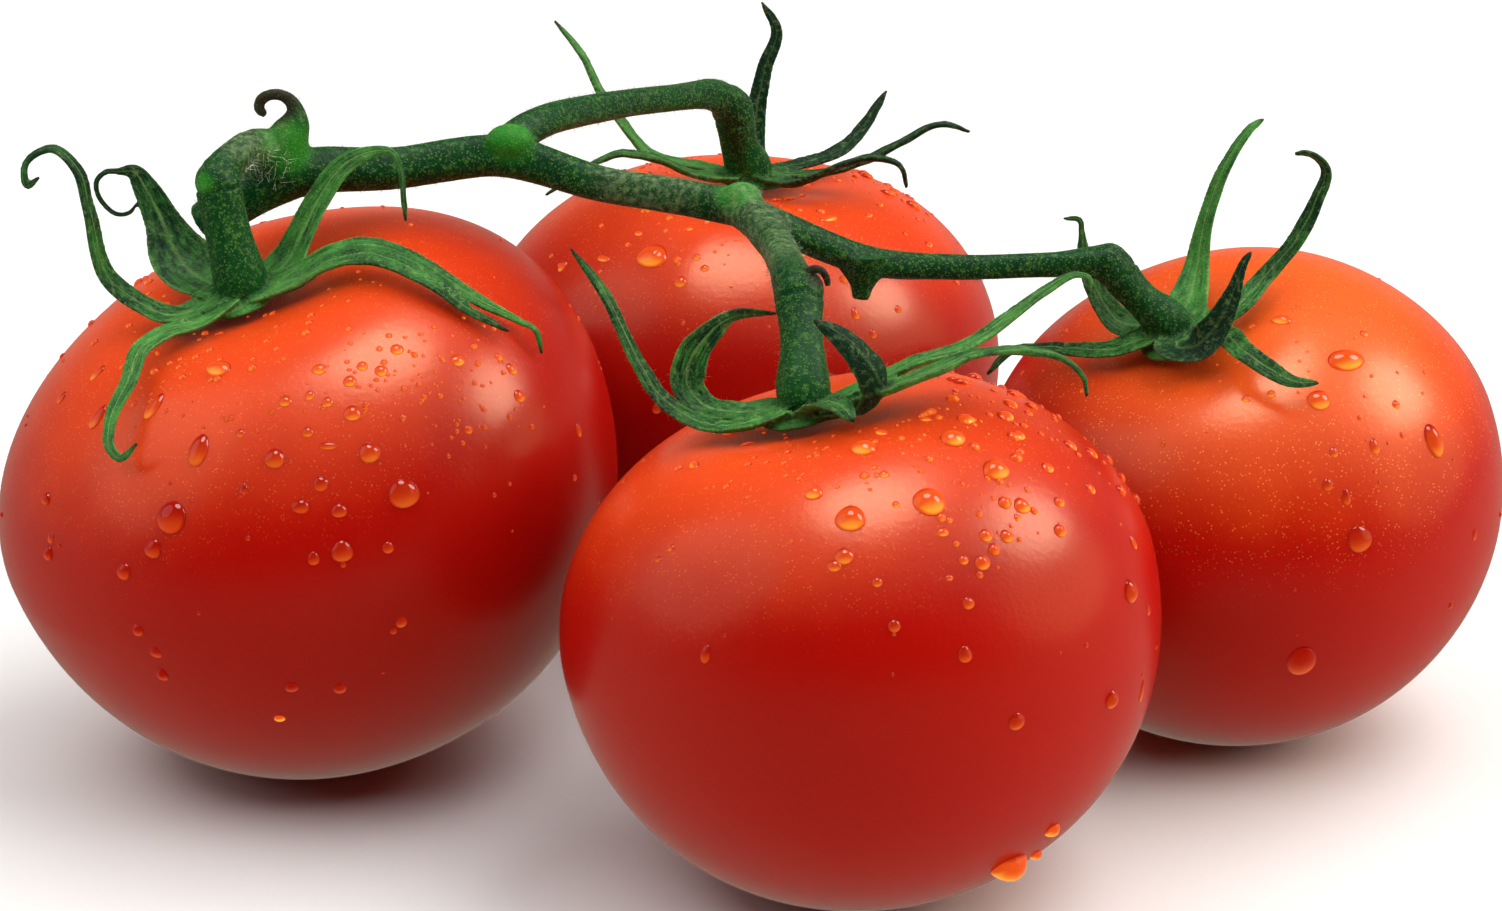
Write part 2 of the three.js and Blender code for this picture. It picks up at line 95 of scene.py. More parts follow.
# Sepals of each calyx: points x, y, z from the middle of the collar, then the half width there.
SEPALS = {
    "left": [
        [(-2, -1, 0.2, 1.8), (-7, -3.5, -1.4, 1.8), (-10.5, -2, -1, 1.7), (-15.5, -1.5, 3, 1.5),
         (-17, -2, 11, 1.1), (-18, -2.5, 16, 0.9), (-20.5, -2.5, 18.5, 0.65), (-23.5, -3, 17, 0.5),
         (-23.5, -3.5, 14.5, 0.5), (-22, -3.5, 15.5, 0.45)],
        [(-2, 1, 0.5, 2.6), (-6, 4, 1.5, 3.4), (-8.3, 6.2, 3.5, 3.5), (-10.2, 8, 7.2, 2.3),
         (-12, 8.5, 11, 1.6), (-13.3, 8.5, 13, 1), (-15, 8.3, 13.1, 0.45), (-16.6, 8.2, 13, 0.38),
         (-17.6, 8, 12, 0.36), (-17.5, 7.8, 10.4, 0.35), (-16.4, 7.6, 8.8, 0.35),
         (-15, 7.4, 8.1, 0.34), (-13.6, 7.3, 8.5, 0.32), (-12.9, 7.2, 9.6, 0.3)],
        [(2, 1, 0.5, 2.4), (5.5, 3, 3.5, 2.8), (7, 4, 6.5, 2.2), (9, 5, 10.5, 1.7),
         (12, 5.5, 14.5, 1.3), (15, 6, 16, 0.8), (17.5, 6, 16, 0.5), (18.5, 5.5, 14, 0.42),
         (18.8, 5, 11, 0.4), (19, 4.8, 7.8, 0.42)],
        [(2, -0.5, 0.5, 2), (7, -2, 3, 2.4), (11, -3, 5.5, 2.3), (15.5, -3.5, 6.7, 1.9),
         (22, -6.5, 5.2, 1.4), (28.5, -8.5, 2, 0.9), (33, -8, -0.5, 0.5), (34.8, -8.6, -1.4, 0.42),
         (35.5, -9, -4.2, 0.4)],
        [(2, -1.5, 0.5, 1.4), (7.2, -3.4, 2.7, 1.4), (11, -4.3, 5.1, 1.3), (15.5, -5, 6, 1.2),
         (22, -8, 4.5, 1), (27.5, -10.2, 1.3, 0.7), (32, -11, -0.8, 0.45)],
        [(-1, -2, 0.2, 1.5), (-4, -5.5, -1.5, 1.5), (-7.5, -8, -2, 1.5), (-10, -11, -3, 1.4),
         (-11, -15.5, -5.5, 1.2), (-12.5, -19, -8.5, 0.9), (-12.5, -21.5, -11, 0.7),
         (-11, -23, -12, 0.55), (-9, -23.5, -10, 0.45)],
    ],
    "front": [
        [(-2, -1, 0.5, 1.4), (-7, -3, -0.5, 1.4), (-11, -1, -1, 1.3), (-15.5, 0, 1.5, 1.3),
         (-18, 1, 5, 1.1), (-20, 2, 9, 0.9), (-22, 3, 13, 0.75), (-25.5, 4.5, 17.5, 0.45)],
        [(-2, 0.5, 0.5, 1.7), (-7.5, 1.5, -0.5, 1.6), (-11, 2.5, 0, 1.7), (-13, 3, 2.5, 2.1),
         (-12.5, 3.5, 5.5, 2.2), (-10.5, 4.5, 8, 1.6), (-8, 6, 9.5, 0.9), (-3, 10, 8.5, 0.45)],
        [(0.5, -2, 0.5, 1.6), (1.5, -6, 3, 1.8), (3.5, -10, 4, 1.5), (5, -13, 3.5, 0.5)],
        [(2, -2, 0.5, 1.8), (7, -7.2, 3.3, 2), (7.6, -8.8, 6.3, 2.2), (6.3, -9.5, 9, 1.9),
         (4, -9.5, 11.5, 1.4), (0.7, -8.8, 13.4, 0.5)],
        [(2, 0, 0.5, 1.8), (8, -3, 4.5, 2), (12, -4, 7, 1.9), (17, -3, 8.3, 1.5),
         (21.5, 1, 10.1, 1.2), (26, 4, 12.6, 0.9), (29.5, 5, 14.3, 0.55), (31, 5, 14, 0.4),
         (31, 5, 12.2, 0.35)],
        [(2, -1, 0.5, 1.8), (9, -8, 5.3, 2.1), (13.5, -9, 7.5, 2), (18, -7.5, 9, 1.5),
         (23, -6, 9, 1.1), (27.5, -5.5, 8, 0.7), (29.6, -6.4, 6.2, 0.45), (30, -7, 4.2, 0.4)],
    ],
    "right": [
        [(-2, 0, 0.5, 1.6), (-7.5, -1, -1.5, 1.6), (-12, 0.5, -2, 1.2), (-16, 1.5, -2, 0.8),
         (-19.5, 2, -2.5, 0.6), (-22.5, 2, -5.5, 0.45)],
        [(-1.5, 1.5, 0.5, 1.8), (-6.5, 3.5, 0.5, 2), (-8.5, 4.5, 2.5, 1.7), (-10, 5.5, 5.5, 1.3),
         (-11, 6.5, 9, 0.8), (-11.2, 6.5, 11, 0.45), (-11.6, 6.5, 12.6, 0.38),
         (-13.6, 6.5, 12.7, 0.36)],
        [(0.5, 1.5, 0.5, 2.6), (1.5, 3, 2.5, 3), (3, 6.8, 6.5, 1.8), (4, 8.5, 12, 1.2),
         (6, 9.5, 18, 0.95), (9, 10.6, 22.6, 0.6), (10.7, 11, 23.9, 0.4)],
        [(2, 0, 0.5, 1.6), (6.5, -1.5, 3.5, 1.7), (10.5, 1.5, 6.8, 1.4), (14, 1.5, 11.5, 1.2),
         (16, 1.5, 16, 1), (17, 1.5, 20, 0.8), (15, 1.5, 22, 0.55), (13, 1.5, 22, 0.45)],
        [(0, -2, 0.5, 2), (-0.5, -6.2, 0.2, 2.4), (1.5, -8.7, 1.4, 2.4), (3.6, -9.4, 4.5, 1.7),
         (5.1, -9.3, 7.9, 1.05), (6.2, -9, 11.4, 0.6), (7.2, -8.7, 12.9, 0.4)],
        [(1.5, -1.5, 0.5, 1.5), (5, -7.5, 2, 1.5), (6.5, -12.5, 1.7, 1.4), (9, -15, 0.5, 1.2),
         (11.5, -16.5, -0.5, 0.8), (14.5, -17, -0.5, 0.45)],
    ],
    "back": [
        [(-2, 0, 0.5, 1.6), (-7, -1.5, 2, 1.6), (-13.5, 0, 3.3, 1.4), (-16.5, -0.5, 6.8, 1.2),
         (-20, 0, 11.8, 1), (-22.5, 1, 16.8, 0.7), (-26, 3, 20.8, 0.45)],
        [(-2, -1.5, 0.5, 1.5), (-7, -6, 2, 1.5), (-12.5, -7, 4.5, 1.3), (-17, -8, 5.5, 1),
         (-20, -8, 4.5, 0.8), (-27, -8, 0, 0.45)],
        [(0, 2, 0.5, 1.5), (0.2, 4, 4, 1.5), (0.7, 5, 9, 1.3), (1.7, 6, 14, 1.1),
         (3.2, 7, 18.5, 0.8), (1.2, 7, 22.5, 0.45)],
        [(1.5, 1.5, 0.5, 1.4), (6.5, 3, 1.2, 1.4), (12, 5, 2.8, 1.3), (15, 7, 5.5, 1.1),
         (18, 9, 10, 0.5)],
        [(2, 0, 0.5, 1.5), (8, -2.5, 1.2, 1.5), (14, -4, 3.2, 1.3), (19.5, -4, 6, 1),
         (24.5, -4, 8.5, 0.7), (28.5, -4, 7.5, 0.45)],
        [(1.5, -1.5, 0.5, 1.5), (6, -8, 1.5, 1.5), (11, -9, 4, 1.4), (15.5, -10, 5.5, 1),
         (19, -10, 4.5, 0.7), (20, -10, 1.5, 0.45)],
    ],
}

# How dark each sepal of a calyx has dried, from 0 fresh to 1 dark, and how far its inner face turns
# to the viewer, from 0 not at all to 1 fully.
DRYNESS = {
    "left": (0.4, 0.5, 0.2, 0.12, 0.3, 0.15),
    "front": (0.35, 0.35, 0.3, 0.8, 0.2, 0.25),
    "right": (0.4, 0.3, 0.1, 0.4, 0.85, 0.3),
    "back": (0.1, 0.25, 0.7, 0.8, 0.6, 0.85),
}
TURN = {
    "left": (0.15, 0.8, 0.7, 0.3, 0.1, 0.3),
    "front": (0.3, 0.65, 0.0, 0.1, 0.2, 0.2),
    "right": (0.2, 0.6, 0.1, 0.45, 0.75, 0.3),
    "back": (0.3, 0.2, 0.1, 0.3, 0.2, 0.2),
}

# Lower pedicel of each calyx, from the collar to the knuckle: x, y, z and radius.
PEDICELS = {
    "left": [(0.3, 0, 0.3, 2), (0, 0.2, 2, 2.9), (-1.2, 0.7, 7.3, 2.7), (-2.0, 1.1, 11.5, 2.65),
             (-2.2, 1.2, 13, 2.75)],
    "front": [(0, 0, 0.3, 1.5), (-0.1, 1.3, 2.2, 2.8), (-0.2, 4.6, 6.4, 2.4), (-0.4, 7.2, 9, 2.5),
              (-0.5, 8.3, 10.1, 2.8)],
    "right": [(0, 0, 0.3, 1.5), (-1.5, 0.2, 2, 2.5), (-4.2, 0.5, 4.3, 2.1), (-6.2, 0.6, 6.3, 2.2),
              (-7, 0.6, 7.3, 2.4)],
    "back": [(0, 0, 0.3, 1.8), (-0.5, -0.7, 2, 2.9), (-1.6, -2.2, 5, 2.5), (-2.2, -4.1, 8.4, 2.5),
             (-2.4, -4.6, 9.6, 2.7)],
}

# Upper ends of the pedicels and the branches they hang on, on the table's axes.
BRANCHES = {
    "left": [(-61.5, -12.4, 73.2, 2.3), (-60.6, -10.8, 74.2, 2), (-58.8, -8.3, 75.2, 1.95),
             (-57.1, -6, 74.7, 2.2), (-52, -4, 71.2, 2.4)],
    "front": [(5, -36, 66.6, 2.5), (4.2, -29, 66.8, 2.1), (2.4, -18, 67.2, 2.1),
              (-0.8, -11, 68.5, 2.3), (-5.8, -9, 69.1, 2.1)],
    "right": [(42.7, -7.3, 61.2, 2.2), (38.6, -7.5, 61, 1.7), (35.2, -7.5, 60.8, 1.55),
              (23.8, -8, 60.7, 1.6), (14.2, -9, 61.7, 1.8), (3.6, -10, 66.2, 1.9),
              (-1.7, -10, 68.7, 1.9)],
    "back": [(-2.7, 38.9, 69.5, 2.4), (-4.8, 36, 71.2, 2.1), (-7.8, 31, 72.2, 1.8),
             (-18.4, 15, 74.5, 1.9), (-26, 2, 75.3, 2.1), (-30.2, -2, 72.9, 2.4)],
}

# Main stem from its cut end to the last fork, bud with a withered curl, broken stub and withered
# bract.
RACHIS = [(-65, -5, 65, 2.5), (-60.2, -5, 68.2, 2.7), (-53.2, -4, 71.1, 2.8),
          (-41.5, -3, 71.5, 2.5), (-29.6, -2, 72.7, 2.6), (-17.7, -5, 70.1, 2.2),
          (-5.8, -9, 69.1, 2.2), (0, -10.6, 68, 2)]
BUD = [(-55.2, -4.5, 71.5, 3), (-54.5, -5, 75.2, 2.6), (-53.5, -5, 77.6, 1.8), (-53.4, -5, 79.2, 1),
       (-54.2, -5, 80.4, 0.8), (-55.8, -5, 80.9, 0.7), (-57.4, -5, 80.2, 0.7), (-57.6, -5, 79, 0.6),
       (-56.8, -5, 78.4, 0.5)]
STUB = [(13.4, -9, 62.3, 3.3), (13.4, -9.4, 60.5, 2.5), (13.3, -9.8, 58.8, 1.4),
        (13.1, -10.1, 57.3, 1.05)]
BRACT = [(5, -36.2, 66.4, 0.9), (6.2, -37.3, 68, 0.6), (7, -37.6, 68.8, 0.5),
         (7.9, -37.6, 68.7, 0.45), (8.5, -37.6, 67.9, 0.4), (8.7, -37.6, 67, 0.3)]

# Swellings at the forks and elbows: middle and half sizes.
SWELLINGS = [((-28.3, -3, 74.8), (2.9, 2.4, 2)), ((-0.9, -10.6, 69.8), (2.5, 2.1, 1.9))]

# Spots on the stem: middle and reach. Fresh growth is pale green; cut and withered ends are brown.
FRESH_SPOTS = [((-28.3, -4.2, 75.6), 4), ((-1.4, -11.6, 71.2), 3.6), ((-54.6, -6.4, 75), 4.4),
               ((-62.8, -14.8, 72.6), 1.9)]
WITHERED_SPOTS = [((-55.6, -5, 80.2), 3.8), ((7.9, -37.6, 68.6), 2.6), ((13, -10.3, 56.8), 1.7),
                  ((-65.8, -5, 64.6), 2.0)]

# Down on the stem, pale partly from its own colour and partly from a painted sheen of light: middle
# and reach of the palest patches, and the fork full of long hairs.
DOWN_AND_SHEEN_SPOTS = [((-58, -9, 77.5), 6), ((1.5, -15, 70.5), 8), ((4, -26, 68.5), 8),
              ((-12, -8, 72.5), 9)]
TANGLE = (-56.6, -8.8, 72.6)
TANGLE_REACH = 3.2
# Radii of a hair at its root, in the tangle and at its tip, and hairs made at a time.
HAIR_ROOT = 0.014
TANGLE_ROOT = 0.03
HAIR_TIP = 0.004
TUFT = 100

# Large drops on each fruit: turn from the viewer to the right and height, in degrees as seen from
# the fruit's middle, then half width, half length down the skin and bulge.
DROPS = {
    "left": [
        (-19, 8, 1.7, 1.7, 0.8), (-19, 41, 1.6, 1.1, 0.6), (-16, 21, 1.1, 1.8, 0.6),
        (1, 20, 1.1, 1.1, 0.6), (20, 20, 1.1, 1.1, 0.6), (25, 12, 1.6, 1.5, 0.7),
        (13, 3, 1.1, 1.1, 0.5), (-22, 2, 1, 1, 0.5), (-28, -3, 0.9, 0.9, 0.5),
        (-55, 4, 0.7, 0.7, 0.5), (-50, -5, 0.7, 0.8, 0.5), (-25, -13, 0.7, 0.7, 0.4),
        (-22, -22, 0.7, 0.8, 0.4), (3, -23, 0.7, 0.7, 0.3), (12, -24, 0.7, 0.7, 0.3),
        (0, -31, 0.6, 0.5, 0.3), (-33, 29, 0.8, 1.7, 0.36), (-50, 23, 0.8, 1.5, 0.36),
        (-64, 31, 0.6, 1.1, 0.27), (-70, 22, 0.6, 0.8, 0.27), (-50, -2, 0.6, 0.7, 0.16),
        (3, 32, 0.7, 0.7, 0.32), (13, 31, 0.6, 0.6, 0.27), (18, 28, 0.9, 0.9, 0.41),
        (19, 35, 0.7, 0.7, 0.32), (27, 36, 0.7, 0.7, 0.32), (23, 38, 0.6, 0.6, 0.27),
        (12, 39, 0.8, 0.7, 0.32), (33, 40, 0.7, 0.7, 0.32), (9, 33, 0.5, 0.6, 0.23),
        (45, 34, 0.8, 0.7, 0.32), (56, 29, 0.6, 0.7, 0.27), (54, 24, 0.7, 0.7, 0.32),
        (8, 25, 0.6, 0.6, 0.27), (55, 32, 0.5, 0.5, 0.23), (40, 21, 0.5, 0.5, 0.23),
        (6, 11, 0.9, 0.7, 0.32), (10, 15, 0.8, 0.8, 0.36), (13, 10, 0.8, 0.7, 0.32),
        (21, 3, 0.6, 0.6, 0.27), (8, 2, 0.6, 0.7, 0.27), (-5, 14, 0.4, 0.7, 0.18),
        (23, -11, 0.6, 0.7, 0.16), (-22, -17, 0.7, 0.7, 0.19), (67, 14, 0.5, 0.8, 0.23),
        (-7, 25, 0.5, 0.5, 0.23), (12, 22, 1, 0.4, 0.18),
    ],
    "front": [
        (17, 42, 1.6, 1.6, 0.9), (-4, 39, 1.45, 1.45, 0.8), (41, 46, 1.4, 1.3, 0.8),
        (37, 57, 1.3, 1.2, 0.7), (0, 59, 1.3, 1.2, 0.7), (-15, 45, 0.9, 0.9, 0.5),
        (41, 37, 0.9, 0.9, 0.5), (28, 33, 0.7, 0.7, 0.4), (33, 32, 0.7, 0.7, 0.4),
        (25, 28, 0.8, 0.8, 0.5), (47, 30, 0.7, 0.7, 0.5), (52, 35, 0.6, 0.6, 0.4),
        (-5, 31, 0.9, 0.9, 0.4), (61, 14, 1.1, 1.2, 0.7), (28, -2, 0.9, 0.9, 0.4),
        (52, -4, 0.9, 1, 0.6), (46, -32, 0.9, 0.9, 0.7), (39, -41, 2.1, 1.7, 1.7),
        (50, -42, 0.7, 0.7, 0.6), (-69, 45, 1, 0.5, 0.23), (6, 50, 0.5, 0.5, 0.23),
        (8, 42, 0.4, 0.4, 0.18), (18, 35, 0.6, 0.5, 0.23), (21, 29, 0.5, 0.5, 0.23),
        (38, 35, 0.4, 0.4, 0.18), (58, 42, 0.7, 0.7, 0.32), (66, 34, 0.6, 0.7, 0.27),
        (78, 42, 0.8, 0.8, 0.36), (71, 56, 1.1, 0.9, 0.41), (87, 56, 1.2, 0.8, 0.36),
        (62, 51, 0.9, 0.7, 0.32), (53, 61, 0.9, 1, 0.41), (10, 65, 0.8, 0.5, 0.23),
        (37, 66, 0.6, 0.4, 0.18), (-7, 29, 0.7, 0.6, 0.27), (2, 26, 0.5, 0.5, 0.23),
        (5, 18, 0.6, 0.6, 0.27), (20, 21, 0.6, 0.6, 0.27), (17, 26, 0.4, 0.3, 0.14),
        (18, 12, 0.7, 0.8, 0.32), (-31, 10, 0.6, 0.9, 0.27), (65, -7, 0.5, 1.2, 0.14),
        (68, 8, 0.4, 0.6, 0.18), (69, 21, 0.5, 0.8, 0.23), (-48, 27, 0.4, 0.4, 0.18),
        (-50, 24, 0.5, 0.3, 0.14), (85, 37, 0.8, 0.8, 0.36), (85, 52, 0.7, 0.5, 0.23),
        (-76, 58, 0.8, 0.4, 0.18),
    ],
    "right": [
        (32, 47, 2.1, 1.4, 0.8), (45, 23, 1.1, 1.9, 0.8), (17, 38, 1.3, 1.2, 0.6),
        (19, 66, 1.2, 0.8, 0.5), (20, 6, 1.4, 1.4, 0.5), (9, -21, 1.6, 2, 0.7),
        (28, 25, 0.6, 0.9, 0.27), (17, 25, 0.5, 0.6, 0.23), (18, 15, 0.5, 0.9, 0.23),
        (47, 52, 0.5, 0.5, 0.23), (54, 0, 0.4, 0.7, 0.18), (14, 18, 0.6, 0.7, 0.27),
        (39, 33, 0.5, 0.5, 0.23), (-5, 40, 0.5, 0.5, 0.23), (3, 41, 0.5, 0.5, 0.23),
    ],
    "back": [
        (-27, 39, 1.9, 1.7, 0.8), (-16, 33, 0.8, 0.8, 0.4), (20, 41, 0.8, 0.7, 0.4),
        (-13, 40, 0.5, 0.5, 0.23), (-10, 37, 0.5, 0.5, 0.23), (-43, 36, 1, 0.5, 0.23),
        (-56, 31, 0.6, 0.8, 0.27), (29, 24, 0.5, 0.8, 0.23), (41, 23, 0.5, 0.5, 0.23),
        (32, 19, 0.5, 0.6, 0.23), (39, 51, 1.3, 0.6, 0.27), (-37, 45, 0.6, 0.4, 0.18),
        (-19, 49, 0.5, 0.4, 0.18), (73, 49, 0.8, 0.4, 0.18), (69, 34, 0.8, 0.5, 0.23),
        (67, 28, 0.7, 0.5, 0.23), (58, 48, 0.7, 0.4, 0.18), (92, 44, 0.9, 0.4, 0.18),
    ],
}

# Small drops on each fruit, in sprays: turn and height of the middle and spread, in degrees, then
# share of the number of small drops and size of the largest.
SPRAY = {
    "left": [
        (34, 31, 14, 0.6, 0.7), (-25, 42, 16, 0.2, 1.0), (-110, 48, 12, 0.1, 1.4),
        (0, 40, 90, 0.6, 0.8),
    ],
    "front": [
        (25, 48, 18, 0.25, 1.0), (-30, 48, 16, 0.15, 0.8), (80, 45, 25, 0.3, 1.5),
        (130, 60, 20, 0.15, 1.9), (-125, 60, 14, 0.1, 1.7), (0, 40, 90, 0.4, 0.8),
    ],
    "right": [
        (15, 50, 25, 0.15, 0.6), (0, 40, 90, 0.3, 0.7),
    ],
    "back": [
        (0, 50, 35, 0.3, 1.1), (112, 48, 9, 0.15, 1.9), (135, 63, 15, 0.15, 1.9),
        (-130, 62, 18, 0.2, 1.8), (0, 40, 90, 0.3, 1.2),
    ],
}

# Large drops are drawn this much larger than measured. Heights in degrees: none sits above the top
# of the bare skin, and those below the second height hang.
DROP_SCALE = 1.1
TOP_HEIGHT = 68
HANGING_HEIGHT = -28.648
# Painted light in a drop: none up to the dim height, full after this rise, and more on the right.
DIM_HEIGHT = 15
BRIGHT_RISE = 28
RIGHT_LIGHT = 0.4


def linear(code):
    """Linear red, green, blue and alpha of an sRGB hex colour."""
    parts = [int(code[i:i + 2], 16) / 255 for i in (1, 3, 5)]
    return (*[p / 12.92 if p <= 0.04045 else ((p + 0.055) / 1.055) ** 2.4 for p in parts], 1.0)


def colour(name, code, description):
    """A property for a colour."""
    return bpy.props.FloatVectorProperty(
        name=name, description=description, subtype="COLOR", size=4, min=0, max=1,
        default=linear(code))


def length(name, millimetres, description):
    """A property for a length."""
    return bpy.props.FloatProperty(
        name=name, description=description, unit="LENGTH", default=millimetres * MM)


class TrussFruit(bpy.types.PropertyGroup):
    # Flank and shoulder colours are partly the fruit's own red and orange and partly painted light
    # and shade: the orange top painted lighter, the red flank below darker.
    flank: colour("Flank", "#A40803", "Ripe red on the sides and below")
    shoulder: colour("Shoulder", "#EC5A1C", "Orange red round the stem end")
    ripe_shoulder: colour("Ripest shoulder", "#E24614", "Redder shoulder of the riper fruits")
    speckle: colour("Speckle", "#F2A04A", "Fine golden specks on the shoulders")


class TrussGreen(bpy.types.PropertyGroup):
    leaf: colour("Sepal", "#489038", "Fresh sepal green")
    leaf_dark: colour("Dried sepal", "#062C16", "Dark green of a drying sepal")
    vein: colour("Vein", "#97BE6C", "Pale veins and margins of the sepals")
    tip: colour("Withered", "#2C2A1A", "Brown of withered tips and cut ends")
    stalk: colour("Stem", "#013E16", "Deep green of stem and pedicels")
    fresh: colour("Fresh growth", "#1E781A", "Bright green swellings at the forks")
    gland: colour("Glands", "#5E9438", "Golden glands on the stem")
    # Pale down: partly its own colour, partly a painted sheen of light on the fuzz.
    down: colour("Down", "#7F9466", "Pale down on the knees of the stem")
    hair: colour("Hairs", "#CCD6B8", "Fine pale hairs")
    sepal_thickness: length("Sepal thickness", 0.8, "Thickness along the midrib")
    hair_length: length("Hair length", 0.9, "Longest hair on the stem")
    hairs: bpy.props.IntProperty(name="Hairs", description="Hairs on the stem", default=8000, min=0)


class TrussWater(bpy.types.PropertyGroup):
    # Drop colours are painted light and shade: a painted shade along the upper rim, the skin
    # painted as if seen through the drop, a painted glow at the lower side, and dimmer copies for
    # drops low on a fruit.
    rim: colour("Upper rim", "#B02208", "Dark red where a drop bends the view away from the light")
    shade: colour("In shade", "#960F06", "Drop low on a fruit")
    shade_glow: colour("Glow in shade", "#C43E12", "Lower side of a drop low on a fruit")
    body: colour("Body", "#E0501A", "Skin seen through a drop")
    glow: colour("Glow", "#FFA636", "Light that a drop gathers at its lower side")
    small_drops: bpy.props.IntProperty(
        name="Small drops", description="Small drops on the wettest fruit", default=190, min=0)
    smallest: length("Smallest", 0.18, "Radius of the smallest drops")
    largest: length("Largest", 0.62, "Radius of the largest scattered drops")


class TrussStage(bpy.types.PropertyGroup):
    floor: colour("Floor", "#E8E8E6", "Pale table top")


def add_node(tree, kind, inputs=(), output=0, **settings):
    """Adds one shader node with its settings and links, and gives back one output. The inputs come
    in order or by key; each is a constant or the output that feeds it."""
    made = tree.nodes.new("ShaderNode" + kind)
    for name, setting in settings.items():
        setattr(made, name, setting)
    for key, value in inputs.items() if isinstance(inputs, dict) else enumerate(inputs):
        if isinstance(value, bpy.types.NodeSocket):
            tree.links.new(value, made.inputs[key])
        else:
            made.inputs[key].default_value = value
    return made.outputs[output]


def new_material(name, **constants):
    """A Principled material with these constants, its node tree and its shader."""
    material = bpy.data.materials.new(name)
    material.use_nodes = True
    shader = material.node_tree.nodes["Principled BSDF"]
    for socket, value in constants.items():
        shader.inputs[socket.replace("_", " ")].default_value = value
    return material, material.node_tree, shader


def skin_material(name, looks, shoulder, orange, gold):
    """Tomato skin: waxy, broad soft highlights over a deep red that glows a little from within."""
    material, tree, shader = new_material(
        name, Roughness=0.27, IOR=1.45, Specular_IOR_Level=0.42, Specular_Tint=linear("#FFEEC0"),
        Subsurface_Weight=0.25, Subsurface_Scale=0.004, Subsurface_Radius=(1.0, 0.2, 0.1))
    node = partial(add_node, tree)
    place = node("TexCoord", output="Object")
    stem_end = node("Attribute", output="Fac", attribute_name="stem_end")
    # Patches of uneven ripeness about 15 mm across, loose swarms a millimetre across, fine pores,
    # and soft dents a few millimetres wide.
    patches, swarms, pores, dents = (
        node("TexNoise", {"Vector": place, "Scale": scale, "Detail": detail}, "Fac")
        for scale, detail in ((65, 3), (800, 2), (1500, 2), (150, 1)))
    # Share of orange shoulder, growing towards the stem end and patchy: partly the fruit's own
    # unripe shoulder, partly painted light that makes the top lighter and the lower flank darker.
    ripe = node("Math", (patches, 0.35, stem_end), operation="MULTIPLY_ADD")
    orange_unripe_and_painted_light = node("MapRange", (ripe, 0.45 - orange, 1.2 - orange), **SMOOTH)
    red = node("Mix", {0: orange_unripe_and_painted_light, 6: looks.flank, 7: shoulder}, 2, **COLOURS)
    # Golden specks a quarter of a millimetre across in the swarms, coarser than real ones so that
    # they show.
    specks = node("TexVoronoi", {"Vector": place, "Scale": 2300}, "Distance")
    round_specks = node("MapRange", (specks, 0.1, 0.3, 1, 0), **SMOOTH)
    loose_swarms = node("MapRange", (swarms, 0.38, 0.6), **SMOOTH)
    dots = node("Math", (round_specks, loose_swarms), **TIMES)
    golden = node("MapRange", (ripe, 0.3, 1.1, 0, gold), **SMOOTH)
    shown = node("Math", (dots, golden), **TIMES)
    speckled = node("Mix", {0: shown, 6: red, 7: looks.speckle}, 2, **COLOURS)
    tree.links.new(speckled, shader.inputs["Base Color"])
    # The skin is not quite smooth.
    soft = node("Bump", {"Height": dents, "Strength": 0.05, "Distance": 0.001})
    fine = node("Bump", {"Height": pores, "Strength": 0.07, "Distance": 0.0004, "Normal": soft})
    tree.links.new(fine, shader.inputs["Normal"])
    return material


